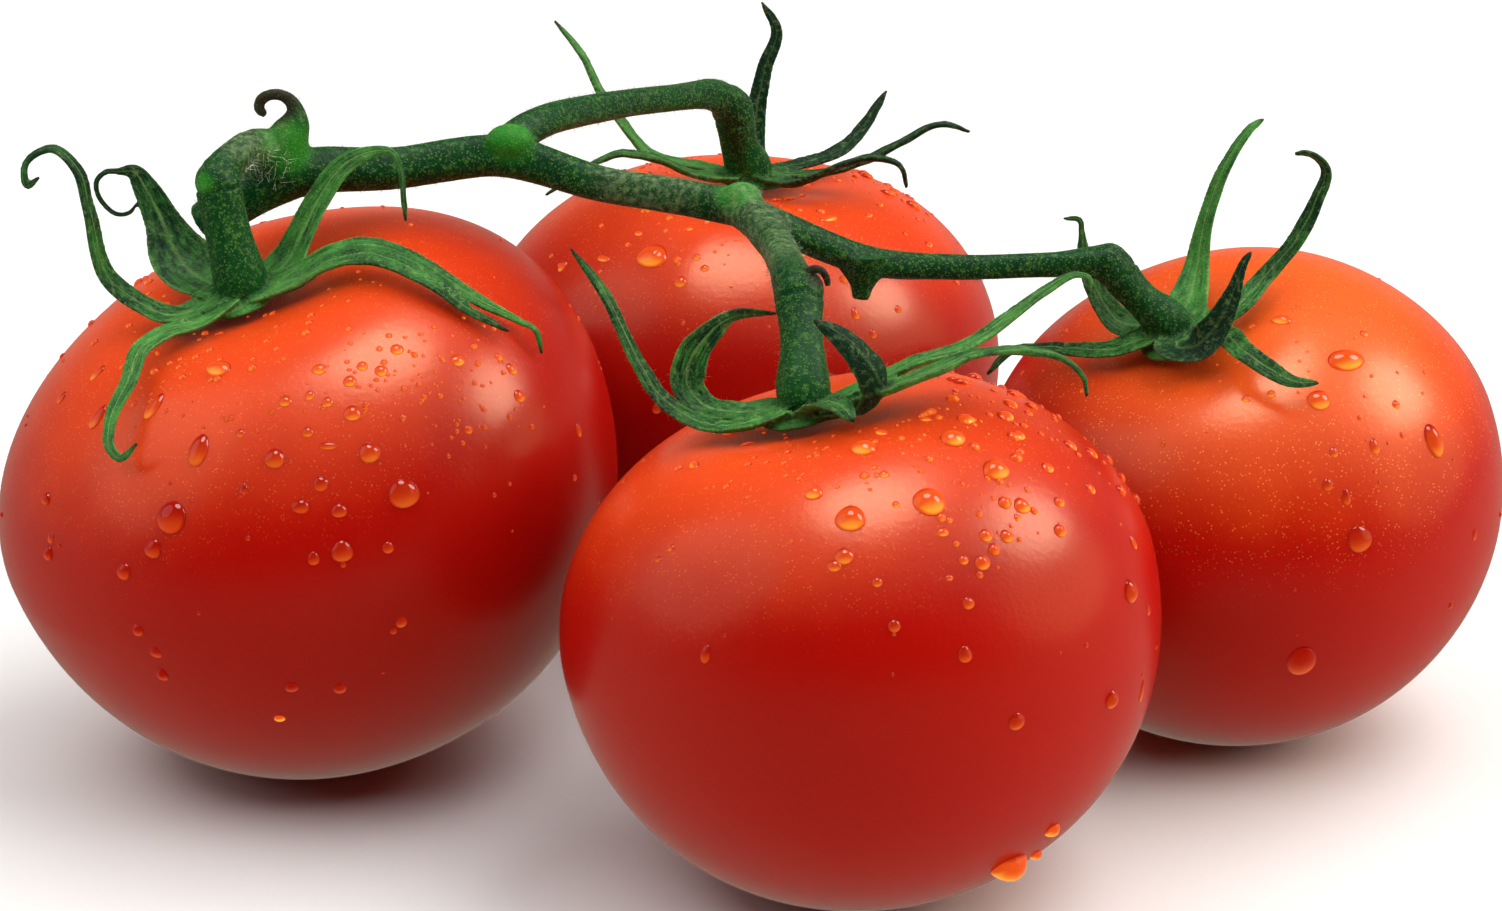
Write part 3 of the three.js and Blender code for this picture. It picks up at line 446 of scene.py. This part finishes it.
def green_material(name, looks):
    """Plant green: sepals matt with pale streaks along them, darker where dry and brown at the
    tips; stalks deep green with golden glands, pale fresh growth and brown ends."""
    material, tree, shader = new_material(
        name, Roughness=0.5, IOR=1.4, Specular_IOR_Level=0.16,
        Subsurface_Weight=0.05, Subsurface_Scale=0.001, Subsurface_Radius=(0.4, 1.0, 0.2),
        Sheen_Weight=0.03, Sheen_Roughness=0.4, Sheen_Tint=linear("#B9D29A"))
    node = partial(add_node, tree)
    place = node("TexCoord", output="Object")
    leafy, across, along_it, dry, fresh, withered, down = (
        node("Attribute", output="Fac", attribute_name=n)
        for n in ("leafy", "across", "along", "dry", "fresh", "withered", "down"))
    # Mottle about 3 mm across, and grains about 0.3 mm across.
    mottle, powder = (
        node("TexNoise", {"Vector": place, "Scale": scale, "Detail": detail}, "Fac")
        for scale, detail in ((330, 5), (1400, 3)))
    # Streaks along a sepal, a third of a millimetre wide.
    lengthwise = node("CombineXYZ", [
        node("Math", pair, **TIMES) for pair in ((across, 5), (along_it, 5), (dry, 40))])
    streaks = node("TexNoise", {"Vector": lengthwise, "Scale": 1.3, "Detail": 4}, "Fac")
    dried = node("Math", (mottle, 0.6, dry), operation="MULTIPLY_ADD")
    streaked = node("Math", (dried, streaks), operation="ADD")
    dark = node("MapRange", (streaked, 0.62, 1.32), **SMOOTH)
    # Pale midrib and margins, less so on dry sepals; then pale grains and a brown tip.
    sideways = node("Math", (across,), operation="ABSOLUTE")
    rib = node("MapRange", (sideways, 0, 0.16, 1, 0), **SMOOTH)
    margin = node("MapRange", (sideways, 0.85, 1), **SMOOTH)
    lines = node("Math", (rib, margin), operation="MAXIMUM")
    pale = node("MapRange", (dry, 0, 0.9, 0.32, 0.08), **SMOOTH)
    veins = node("Math", (lines, pale), **TIMES)
    pale_grains = node("MapRange", (powder, 0.5, 0.75, 0, 0.22), **SMOOTH)
    end = node("MapRange", (along_it, 0.93, 1), **SMOOTH)
    leaf = looks.leaf
    for share, over in ((dark, looks.leaf_dark), (veins, looks.vein), (pale_grains, looks.vein),
                        (end, looks.tip)):
        leaf = node("Mix", {0: share, 6: leaf, 7: over}, 2, **COLOURS)
    shadows = node("MapRange", (mottle, 0.35, 0.7, 0, 0.7), **SMOOTH)
    # Glands 0.15 mm across and less than half a millimetre apart, and golden grains between them.
    glands = node("TexVoronoi", {"Vector": place, "Scale": 2600}, "Distance")
    dots = node("MapRange", (glands, 0.1, 0.44, 0.5, 0), **SMOOTH)
    golden_grains = node("MapRange", (powder, 0.5, 0.75, 0, 0.4), **SMOOTH)
    # Pale down in patches: partly the down's own colour, partly a painted sheen of light on it.
    patchy = node("MapRange", (powder, 0.35, 0.65, 0.05, 0.4), **SMOOTH)
    downy_sheen = node("Math", (down, patchy), **TIMES)
    green = looks.stalk
    for share, over in ((shadows, looks.leaf_dark), (fresh, looks.fresh), (dots, looks.gland),
                        (golden_grains, looks.gland), (downy_sheen, looks.down), (leafy, leaf),
                        (withered, looks.tip)):
        green = node("Mix", {0: share, 6: green, 7: over}, 2, **COLOURS)
    tree.links.new(green, shader.inputs["Base Color"])
    # Raised glands and mottle, and furrows along the sepals.
    bumps = node("Math", (mottle, 1.2, dots), operation="MULTIPLY_ADD")
    furrows = node("Math", (streaks, leafy), **TIMES)
    height = node("Math", (bumps, furrows), operation="ADD")
    rough = node("Bump", {"Height": height, "Strength": 0.6, "Distance": 0.0003})
    tree.links.new(rough, shader.inputs["Normal"])
    return material


def water_material(looks):
    """Water on red skin: an opaque bead with painted light and shade, a painted shade along its
    upper rim and a painted amber glow at its lower side, which also shines as emission. Its small
    sharp glints come from the lamps."""
    material, tree, shader = new_material(
        "water_bead", Roughness=0.04, IOR=1.333, Emission_Strength=0.8)
    node = partial(add_node, tree)
    gathered, lit = (
        node("Attribute", output="Fac", attribute_name=n) for n in ("gathered", "lit"))
    # Painted light down each drop: a dark upper rim, the body, an amber lower side; drops low on a
    # fruit get the dimmer painted shade colours.
    below_rim, bottom, lower_side = (
        node("MapRange", (gathered, low, high), **SMOOTH)
        for low, high in ((0.02, 0.3), (0.6, 1.05), (0.3, 1)))
    upper = node("Mix", {0: below_rim, 6: looks.rim, 7: looks.body}, 2, **COLOURS)
    amber = node("Mix", {0: bottom, 6: upper, 7: looks.glow}, 2, **COLOURS)
    dim = node("Mix", {0: lower_side, 6: looks.shade, 7: looks.shade_glow}, 2, **COLOURS)
    glow = node("Mix", {0: lit, 6: dim, 7: amber}, 2, **COLOURS)
    body = node("Mix", {0: 0.65, 6: glow, 7: linear("#200400")}, 2, **COLOURS)
    tree.links.new(body, shader.inputs["Base Color"])
    # The painted glow is also emitted, so the drop glows though it is no lamp; it stands for the
    # light that comes out of the skin through the drop.
    tree.links.new(glow, shader.inputs["Emission Color"])
    return material


def along(spine, t):
    """Point and size at t from 0 to 1 on a smooth line through the spine's points."""
    last = len(spine) - 1
    i = min(int(t * last), last - 1)
    f = t * last - i
    p1, p2 = Vector(spine[i]), Vector(spine[i + 1])
    p0 = Vector(spine[i - 1]) if i else 2 * p1 - p2
    p3 = Vector(spine[i + 2]) if i + 2 <= last else 2 * p2 - p1
    d0, d1, d2 = ((b.xyz - a.xyz).length ** 0.5 for a, b in ((p0, p1), (p1, p2), (p2, p3)))
    m1 = ((p1 - p0) / d0 - (p2 - p0) / (d0 + d1) + (p2 - p1) / d1) * d1
    m2 = ((p2 - p1) / d1 - (p3 - p1) / (d1 + d2) + (p3 - p2) / d2) * d1
    return p1 + m1 * f + (3 * (p2 - p1) - 2 * m1 - m2) * f ** 2 + (2 * (p1 - p2) + m1 + m2) * f ** 3


def fade(distance, reach):
    """1 at no distance, falling off softly over the reach."""
    return math.exp(-(distance / reach) ** 2)


def tip_share(t, start, reach):
    """0 up to the start of a tip, growing to 1 at the end of its reach."""
    return max((t - start) / reach, 0) ** 2


def sweep(bm, spine, facing, sides, per_point, section, turn=0.0, layers=()):
    """A rod along a spine in millimetres: a grid rolled up round it. The section turns the angle,
    the size and the share of the length into steps across and up and a value for each layer."""
    steps = (len(spine) - 1) * per_point
    stations, up = [], Vector(facing)
    for i in range(steps + 1):
        t = i / steps
        here = along(spine, t)
        after, before = along(spine, min(t + 1e-3, 1)), along(spine, max(t - 1e-3, 0))
        ahead = (after.xyz - before.xyz).normalized()
        up = (up - ahead * up.dot(ahead)).normalized()
        to_viewer = Vector((0, -1, 0))
        shown = up.lerp(to_viewer - ahead * to_viewer.dot(ahead), turn * min(2 * t, 1)).normalized()
        stations.append((here.xyz, ahead.cross(shown), shown, here.w))
    for v in bmesh.ops.create_grid(bm, x_segments=sides, y_segments=steps, size=1)["verts"]:
        i = round((v.co.y + 1) / 2 * steps)
        place, side, rise, size = stations[i]
        right, high, *values = section(math.pi * v.co.x, size, i / steps)
        for layer, value in zip(layers, values):
            v[layer] = value
        v.co = (place + side * right + rise * high) * MM


def close_rods(bm):
    """Welds the seams of rolled-up rods and fills their ends."""
    bmesh.ops.remove_doubles(bm, verts=bm.verts, dist=1e-7)
    bmesh.ops.holes_fill(bm, edges=[e for e in bm.edges if e.is_boundary], sides=0)
    bmesh.ops.recalc_face_normals(bm, faces=bm.faces)


def drop_crumbs(bm):
    """Deletes all but the largest connected part."""
    waiting, parts = set(bm.verts), []
    while waiting:
        front = [waiting.pop()]
        part = []
        while front:
            v = front.pop()
            part.append(v)
            beside = [e.other_vert(v) for e in v.link_edges]
            front += [w for w in beside if w in waiting]
            waiting.difference_update(beside)
        parts.append(part)
    parts.remove(max(parts, key=len))
    bmesh.ops.delete(bm, geom=[v for part in parts for v in part], context="VERTS")


def finished_mesh(name, bm):
    """A mesh from a bmesh, which is then freed."""
    mesh = bpy.data.meshes.new(name)
    bm.to_mesh(mesh)
    bm.free()
    return mesh


def add_object(name, data):
    """A new object in the scene."""
    made = bpy.data.objects.new(name, data)
    bpy.context.scene.collection.objects.link(made)
    return made


def grow_together(context, bm, grain, names=()):
    """One smooth skin round all the rods of a piece, so that they flow into each other. Each point
    of the skin takes the named values of the nearest points of the rods."""
    mesh = bpy.data.meshes.new("rods")
    bm.to_mesh(mesh)
    rods = add_object("rods", mesh)
    skin = rods.modifiers.new("skin", "REMESH")
    skin.mode, skin.voxel_size = "VOXEL", grain * MM
    flow = rods.modifiers.new("flow", "SMOOTH")
    flow.factor, flow.iterations = 0.5, SMOOTHINGS
    grown = bmesh.new()
    grown.from_object(rods, context.evaluated_depsgraph_get())
    bpy.data.objects.remove(rods)
    bpy.data.meshes.remove(mesh)
    drop_crumbs(grown)
    if names:
        tree = KDTree(len(bm.verts))
        for i, v in enumerate(bm.verts):
            tree.insert(v.co, i)
        tree.balance()
        bm.verts.ensure_lookup_table()
        pairs = [(bm.verts.layers.float[n], grown.verts.layers.float.new(n)) for n in names]
        for v in grown.verts:
            near = [bm.verts[i] for _, i, _ in tree.find_n(v.co, NEAR_POINTS)]
            for old, new in pairs:
                v[new] = sum(n[old] for n in near) / NEAR_POINTS
    bm.free()
    return grown


def add_piece(name, bm, material, node=None):
    """The finished piece: it moves with the truss and stands for its CAD node."""
    mesh = finished_mesh(name, bm)
    mesh.shade_smooth()
    mesh.materials.append(material)
    piece = add_object(name, mesh)
    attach(piece, "root")
    if node:
        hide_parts(node)
    return piece


def placement(fruit):
    """Where a fruit sits and how it is tilted."""
    middle, _, nod, roll = fruit[:4]
    return (Matrix.Translation(Vector(middle) * MM) @ Matrix.Rotation(math.radians(nod), 4, "X")
            @ Matrix.Rotation(math.radians(roll), 4, "Y"))


def collar_middle(side):
    """Middle of the collar over a fruit's dimple."""
    _, radius, _, _, upper, _, _ = FRUITS[side]
    height = radius * (upper - DIMPLE_DEPTH) + COLLAR_RISE
    return placement(FRUITS[side]) @ Vector((0, 0, height * MM))


def shifted(spine, middle):
    """A calyx's spine, moved from its collar to the table's axes."""
    return [(*(Vector(p[:3]) + middle / MM), p[3]) for p in spine]


def nearness(point, spots):
    """1 at the middle of the nearest spot, falling to 0 at its reach."""
    share = max(1 - (point / MM - Vector(middle)).length / reach for middle, reach in spots)
    share = min(max(share * 1.8, 0), 1)
    return share * share * (3 - 2 * share)


class TRUSS_OT_tomatoes(bpy.types.Operator):
    """Four ripe tomatoes, each dimpled at its stem end and resting on a small flat"""
    bl_idname = "truss.tomatoes"
    bl_label = "Tomatoes"

    def execute(self, context):
        looks = context.scene.truss_fruit
        for side, fruit in FRUITS.items():
            # The right fruit is the least ripe and the most golden.
            shoulder, gold = looks.ripe_shoulder, 0.35
            if side == "right":
                shoulder, gold = looks.shoulder, 0.6
            name = f"tomato_skin_{side}"
            self.tomato(side, fruit, skin_material(name, looks, shoulder, ORANGE[side], gold))
        return {"FINISHED"}

    def tomato(self, side, fruit, material):
        _, radius, _, _, upper, lower, lift = fruit
        bm = bmesh.new()
        stem_end = bm.verts.layers.float.new("stem_end")
        bmesh.ops.create_uvsphere(bm, u_segments=160, v_segments=96, radius=1)
        for v in bm.verts:
            x, y, z = v.co
            flat = math.hypot(x, y)
            high, low = max(z, 0), min(z, 0)
            # Faint lobes, as the seed chambers show through the shoulder.
            swell, turn = LOBES[side]
            wave = math.cos(LOBE_COUNT * math.atan2(y, x) + turn)
            lobes = 1 + (FAINT_LOBE + swell * high) * flat * wave
            wide = (1 + LOWER_SWELL * low * low) * lobes
            raised = math.sqrt(high) * flat * (lift[0] * x + lift[1] * y)
            dimple = DIMPLE_DEPTH * fade(flat, DIMPLE_WIDTH) if z > 0 else 0
            tall = upper * high + lower * low + raised - dimple
            # The right fruit ripened from its left side, so its orange reaches further down its
            # right side, which faces the right lamps: partly its own colour, partly painted light.
            v[stem_end] = z + (RIGHT_LEAN * x if side == "right" else 0)
            v.co = Vector((x * wide, y * wide, tall)) * radius * MM
        bmesh.ops.transform(bm, matrix=placement(fruit), verts=bm.verts)
        for v in bm.verts:
            v.co.z = max(v.co.z, 0)
        add_piece(f"tomato_skin_{side}", bm, material, f"tomato_{side}")


class TRUSS_OT_calyxes(bpy.types.Operator):
    """Four calyxes: a collar, six curling sepals and the lower pedicel up to its knuckle"""
    bl_idname = "truss.calyxes"
    bl_label = "Calyxes"

    def execute(self, context):
        looks = context.scene.truss_green
        material = green_material("sepal_leaf", looks)
        for side in FRUITS:
            grown = self.calyx(context, side, looks.sepal_thickness / MM)
            add_piece(f"calyx_green_{side}", grown, material, f"calyx_{side}")
        return {"FINISHED"}

    def calyx(self, context, side, thickness):
        middle, matrix = collar_middle(side), placement(FRUITS[side])
        axis = matrix.to_3x3() @ Vector((0, 0, 1))
        bm = bmesh.new()
        names = ("leafy", "across", "along", "dry", "fresh")
        layers = [bm.verts.layers.float.new(n) for n in names]
        collar = bmesh.ops.create_uvsphere(
            bm, u_segments=48, v_segments=16, radius=1,
            matrix=Matrix.Translation(middle + axis * COLLAR_LIFT * MM) @ matrix.to_3x3().to_4x4()
            @ Matrix.Diagonal((*(half * MM for half in COLLAR_HALF), 1)))
        # Like the foot of a fresh sepal, off its midrib.
        for v in collar["verts"]:
            for layer, value in zip(layers, (1, 0.5, 0, 0.15, 0)):
                v[layer] = value
        for number, spine in enumerate(SEPALS[side]):
            dry, phase = DRYNESS[side][number], 7.3 * number

            def section(angle, half, t):
                x, z = math.cos(angle), math.sin(angle)
                # Sepals widen into a web where they leave the collar, have uneven edges and end
                # in a point.
                half += 0.6 * fade(t, 0.16)
                half *= 1 + 0.1 * noise.noise((7 * t, phase, x))
                half *= 1 - 0.7 * tip_share(t, 0.9, 0.1)
                # Both margins bend up from the midrib; the blade is crumpled and thins outwards.
                crease = 0.3 * half * x * x + 0.16 * noise.noise((x * half, 14 * t, phase))
                thick = 0.5 * thickness * (1 - 0.2 * x * x) * min(1, 0.6 + 0.4 * half)
                high = math.copysign(abs(z) ** 0.6, z) * thick + crease
                return half * x, high, 1, x, t, dry * min(1, 0.3 + 1.4 * t), 0

            sweep(bm, shifted(spine, middle), axis, sides=24, per_point=8, section=section,
                  turn=TURN[side][number], layers=layers)

        def pedicel(angle, radius, t):
            # Five faint ribs, a foot that spreads into the collar and a rounded knuckle.
            radius *= 1 + 0.03 * math.cos(5 * angle + 3 * t)
            radius += 0.7 * fade(t, 0.22)
            radius *= 1 - 0.1 * tip_share(t, 0.94, 0.06)
            leafy, fresh = 0.4 * fade(t, 0.2), 0.15 * (1 - t)
            return radius * math.cos(angle), radius * math.sin(angle), leafy, 0.5, 0, 0.3, fresh

        sweep(bm, shifted(PEDICELS[side], middle), FACING, sides=28, per_point=12, section=pedicel,
              layers=layers)
        close_rods(bm)
        return grow_together(context, bm, CALYX_GRAIN, names)


class TRUSS_OT_stem(bpy.types.Operator):
    """Main stem with its forks, branches, bud, stub and bract, grown together in one piece"""
    bl_idname = "truss.stem"
    bl_label = "Stem"

    def execute(self, context):
        bm = bmesh.new()
        necks = [self.neck(side) for side in BRANCHES]
        for spine in (RACHIS, BUD, STUB, *BRANCHES.values(), *necks):
            sweep(bm, spine, FACING, sides=24, per_point=10, section=self.section)
        # Swellings at the forks, and a ball that rounds off each elbow.
        elbows = [(b[0][:3], [b[0][3]] * 3) for b in BRANCHES.values()]
        for middle, half in SWELLINGS + elbows:
            bmesh.ops.create_uvsphere(
                bm, u_segments=24, v_segments=14, radius=1,
                matrix=Matrix.Translation(Vector(middle) * MM)
                @ Matrix.Diagonal((*(h * MM for h in half), 1)))
        close_rods(bm)
        grown = grow_together(context, bm, STEM_GRAIN)
        sweep(grown, BRACT, FACING, sides=12, per_point=10, section=self.section)
        close_rods(grown)
        layers = grown.verts.layers.float
        fresh, withered, down = (layers.new(name) for name in ("fresh", "withered", "down"))
        for v in grown.verts:
            v[fresh] = nearness(v.co, FRESH_SPOTS)
            v[withered] = nearness(v.co, WITHERED_SPOTS)
            # Down patches carry a painted sheen of light as well as the down's own paleness.
            v[down] = nearness(v.co, DOWN_AND_SHEEN_SPOTS)
        material = green_material("stem_stalk", context.scene.truss_green)
        add_piece("stem", grown, material, "truss_stem")
        return {"FINISHED"}

    @staticmethod
    def section(angle, radius, t):
        """Round with four faint ribs that wind along it, and uneven."""
        x, z = math.cos(angle), math.sin(angle)
        radius *= 1 + 0.04 * math.cos(4 * angle + 5 * t) + 0.05 * noise.noise((x, z, 12 * t))
        return radius * x, radius * z

    @staticmethod
    def neck(side):
        """Upper pedicel from inside the knuckle, where a shallow groove is left, to the elbow."""
        *_, before, end = shifted(PEDICELS[side], collar_middle(side))
        knuckle = Vector(end[:3])
        ahead = (knuckle - Vector(before[:3])).normalized()
        elbow = BRANCHES[side][0]
        # Rings, each a step ahead in millimetres and a share of the knuckle's radius. They crowd
        # where the elbow is less than 3 mm away.
        near = min((Vector(elbow[:3]) - knuckle).length / 3, 1)
        rings = ((-0.8, 0.88), (0.1, 0.93), (0.8 * near, 1.02), (1.6 * near, 0.9 + 0.1 * near))
        return [(*(knuckle + ahead * step), end[3] * share) for step, share in rings] + [elbow]


class TRUSS_OT_hairs(bpy.types.Operator):
    """Fine pale hairs on the stem, pedicels and sepals"""
    bl_idname = "truss.hairs"
    bl_label = "Hairs"

    def execute(self, context):
        looks = context.scene.truss_green
        material, tree, shader = new_material("plant_hair", Roughness=0.5, IOR=1.4)
        tip = add_node(tree, "Attribute", output="Fac", attribute_name="tip")
        pale = add_node(tree, "Mix", {0: tip, 6: looks.stalk, 7: looks.hair}, 2, **COLOURS)
        tree.links.new(pale, shader.inputs["Base Color"])
        rng = random.Random(7)
        carriers = {"stem": looks.hairs}
        carriers.update({f"calyx_green_{side}": looks.hairs // 4 for side in FRUITS})
        for name, number in carriers.items():
            faces = bpy.data.objects[name].data.polygons
            bm = bmesh.new()
            bm.verts.layers.float.new("tip")
            fork = [f for f in faces if (f.center / MM - Vector(TANGLE)).length < TANGLE_REACH]
            # A tuft at a time, because bmesh slows down as it fills. At the fork, the first one
            # is the tangle.
            for count in range(0, number, TUFT):
                tuft = bmesh.new()
                layer = tuft.verts.layers.float.new("tip")
                tangled = fork and count < TUFT
                for _ in range(TUFT):
                    face = rng.choice(fork if tangled else faces)
                    self.hair(tuft, face, looks.hair_length, tangled, rng)
                for v in tuft.verts:
                    v[layer] = 1.0 if tangled else 0.3
                mesh = finished_mesh("tuft", tuft)
                bm.from_mesh(mesh)
                bpy.data.meshes.remove(mesh)
            add_piece(f"hairs_{name}", bm, material)
        return {"FINISHED"}

    @staticmethod
    def hair(bm, face, longest, tangled, rng):
        """One hair, leaning a little; those in the fork by the bud are long and tangled."""
        lean = 1.1 if tangled else 0.5
        way = (face.normal + Vector([rng.gauss(0, lean) for _ in range(3)])).normalized()
        tall = longest * rng.uniform(0.3, 1) * (2.4 if tangled else 1)
        turned = way.to_track_quat("Z", "Y").to_matrix().to_4x4()
        root = TANGLE_ROOT if tangled else HAIR_ROOT
        # Its middle is below half its length, so its root is in the skin.
        bmesh.ops.create_cone(
            bm, segments=3, radius1=root * MM, radius2=HAIR_TIP * MM, depth=tall, cap_ends=False,
            matrix=Matrix.Translation(face.center + way * tall * 0.45) @ turned)


class TRUSS_OT_water(bpy.types.Operator):
    """Drops of water on the skins: the large ones where they sit, small ones scattered"""
    bl_idname = "truss.water"
    bl_label = "Water drops"

    def execute(self, context):
        looks = context.scene.truss_water
        water = water_material(looks)
        large, small = self.bead(sides=22), self.bead(sides=9)
        for side, fruit in FRUITS.items():
            rng = random.Random(side)
            tomato = bpy.data.objects[f"tomato_skin_{side}"]
            skin = BVHTree.FromObject(tomato, context.evaluated_depsgraph_get())
            bm = bmesh.new()
            for name in ("gathered", "lit"):
                bm.verts.layers.float.new(name)
            for drop in DROPS[side]:
                sizes = (DROP_SCALE * size * MM for size in drop[2:])
                self.drop(bm, large, skin, fruit, *drop[:2], *sizes)
            for turn, height, spread, share, size in SPRAY[side]:
                for _ in range(int(share * looks.small_drops)):
                    more = size * looks.largest - looks.smallest
                    radius = looks.smallest + more * rng.random() ** 2
                    self.drop(bm, small, skin, fruit, rng.gauss(turn, spread),
                              rng.gauss(height, 0.6 * min(spread, 40)),
                              radius, radius * rng.uniform(0.85, 1.2), radius * 0.6)
            add_piece(f"drops_{side}", bm, water)
        for bead in (large, small):
            bpy.data.meshes.remove(bead)
        return {"FINISHED"}

    @staticmethod
    def bead(sides):
        """A round bead to copy, one across its radius."""
        bm = bmesh.new()
        bmesh.ops.create_uvsphere(bm, u_segments=sides, v_segments=sides // 2 + 1, radius=1)
        return finished_mesh("bead", bm)

    @staticmethod
    def drop(bm, bead, skin, fruit, turn, height, wide, long, bulge):
        """One bead on the skin, sunk in a little, its long side down the slope."""
        hangs = height < HANGING_HEIGHT
        turn, height = math.radians(turn), math.radians(min(height, TOP_HEIGHT))
        level = math.cos(height)
        way = Vector((math.sin(turn) * level, -math.cos(turn) * level, math.sin(height)))
        place, normal, _, _ = skin.ray_cast(Vector(fruit[0]) * MM, way)
        down = (Vector((0, 0, -1)) + normal * normal.z).normalized()
        turned = Matrix((normal.cross(down), -down, normal)).transposed()
        gathered, lit = (bm.verts.layers.float[n] for n in ("gathered", "lit"))
        # Painted light: drops high on the fruit, on its right and those that hang below it are
        # painted brightest, as if they catch the most light.
        bright = max((math.degrees(height) - DIM_HEIGHT) / BRIGHT_RISE, 0)
        bright = 1 if hangs else min(bright + RIGHT_LIGHT * max(math.sin(turn), 0), 1)
        start = len(bm.verts)
        bm.from_mesh(bead)
        bm.verts.ensure_lookup_table()
        # Each outline is a little out of round in its own way.
        uneven = 0.04 * math.sin(977 * turn)
        for v in bm.verts[start:]:
            x, y, z = v.co
            # Painted light across each drop: dark at the upper rim and edge, glowing at the lower
            # side, most in drops that hang.
            edge = max((x * x + y * y - 0.75) / 0.25, 0)
            v[gathered] = 0.5 - 0.55 * y + 0.12 * x * z - 0.35 * edge + (0.45 if hangs else 0)
            v[lit] = bright
            spread = 1 + uneven * math.sin(3 * math.atan2(y, x) + 40 * turn)
            high = z ** 1.5 if z > 0 else 0.2 * z
            v.co = (x * wide * (1 - 0.1 * y) * spread, y * long * spread, high * bulge)
            v.co = place + turned @ v.co


class TRUSS_OT_stage(bpy.types.Operator):
    """Pale floor, soft studio lights and the camera"""
    bl_idname = "truss.stage"
    bl_label = "Stage"

    def execute(self, context):
        scene = context.scene
        bm = bmesh.new()
        bmesh.ops.create_grid(bm, x_segments=4, y_segments=4, size=4)
        mesh = finished_mesh("floor", bm)
        material, tree, shader = new_material("pale_table", Roughness=0.6)
        place = add_node(tree, "TexCoord", output="Object")
        # Faint clouds about 3 cm across.
        grain = add_node(tree, "TexNoise", {"Vector": place, "Scale": 30}, "Fac")
        pale = scene.truss_stage.floor
        duller = tuple(0.99 * c for c in pale)
        table = add_node(tree, "Mix", {0: grain, 6: pale, 7: duller}, 2, **COLOURS)
        tree.links.new(table, shader.inputs["Base Color"])
        mesh.materials.append(material)
        floor = add_object("floor", mesh)
        # The skins mirror the dim room, not the bright table.
        floor.visible_glossy = False

        world = bpy.data.worlds.new("studio")
        world.use_nodes = True
        backdrop = world.node_tree.nodes["Background"]
        backdrop.inputs["Color"].default_value = linear("#FFF0DC")
        # Dark behind the viewer and above, bright round the rest of the truss.
        node = partial(add_node, world.node_tree)
        way = node("TexCoord", output="Generated")
        far = node("MapRange", (node("SeparateXYZ", (way,), "Y"), -0.95, 0.1, 0, 0.42), **SMOOTH)
        low = node("MapRange", (node("SeparateXYZ", (way,), "Z"), 0, 0.6, 1, 0.12), **SMOOTH)
        strength = node("Math", (far, low), **TIMES)
        world.node_tree.links.new(strength, backdrop.inputs["Strength"])
        scene.world = world

        # Each light: place, width, strength, colour, whether it shades and whether it shows as a
        # highlight. All aim at the middle of the truss.
        aim = Vector((0, 0, 0.04))
        for name, place, width, power, tint, shades, shines in (
            ("overhead", (-0.02, 0.02, 1.05), 0.56, 9.5, "#FFFFFF", False, True),
            ("ceiling", (-0.02, 0.02, 1.05), 2.4, 26.0, "#FFFFFF", True, False),
            ("right", (0.76, 0.03, 0.78), 0.5, 7.5, "#FFFFFF", False, True),
            ("right_wall", (0.76, 0.03, 0.78), 1.7, 16.5, "#FFFFFF", True, False),
            ("left", (-0.75, -0.1, 0.6), 0.9, 2.5, "#FFFFFF", True, True),
            ("low_right", (0.95, -0.15, 0.4), 0.9, 3.2, "#FFDCAA", True, True),
        ):
            lamp = bpy.data.lights.new(name, "AREA")
            lamp.color = linear(tint)[:3]
            lamp.shape, lamp.size, lamp.energy = "DISK", width, power
            light = add_object(name, lamp)
            light.location = place
            light.visible_diffuse, light.visible_glossy = shades, shines
            light.rotation_euler = (aim - Vector(place)).to_track_quat("-Z", "Y").to_euler()

        lens = bpy.data.cameras.new("camera")
        lens.sensor_fit, lens.sensor_width = "HORIZONTAL", 36
        lens.lens, lens.clip_start = 88.68, 0.01
        camera = add_object("camera", lens)
        camera.location = (0.0002, -0.43, 0.1806)
        camera.rotation_euler = (math.radians(71.22), 0, 0)
        scene.camera = camera
        scene.view_settings.view_transform = "Standard"
        return {"FINISHED"}


class TRUSS_PT_panel(bpy.types.Panel):
    """Pieces of the truss"""
    bl_idname = "TRUSS_PT_panel"
    bl_label = "Truss of tomatoes"
    bl_space_type = "VIEW_3D"
    bl_region_type = "UI"
    bl_category = "Truss"

    def draw(self, context):
        scene = context.scene
        for group in (scene.truss_fruit, scene.truss_green, scene.truss_water, scene.truss_stage):
            for name in group.__annotations__:
                self.layout.prop(group, name)
        for operator in OPERATORS:
            self.layout.operator(operator.bl_idname)


GROUPS = {"truss_fruit": TrussFruit, "truss_green": TrussGreen, "truss_water": TrussWater,
          "truss_stage": TrussStage}
OPERATORS = (TRUSS_OT_tomatoes, TRUSS_OT_calyxes, TRUSS_OT_stem, TRUSS_OT_hairs, TRUSS_OT_water,
             TRUSS_OT_stage)


def register():
    for cls in (*GROUPS.values(), *OPERATORS, TRUSS_PT_panel):
        bpy.utils.register_class(cls)
    for name, group in GROUPS.items():
        setattr(bpy.types.Scene, name, bpy.props.PointerProperty(type=group))


def unregister():
    for name in GROUPS:
        delattr(bpy.types.Scene, name)
    for cls in (TRUSS_PT_panel, *reversed(OPERATORS), *reversed(GROUPS.values())):
        bpy.utils.unregister_class(cls)


def main():
    register()
    bpy.ops.truss.tomatoes()
    bpy.ops.truss.calyxes()
    bpy.ops.truss.stem()
    bpy.ops.truss.hairs()
    bpy.ops.truss.water()
    bpy.ops.truss.stage()


if __name__ == "__main__":
    main()
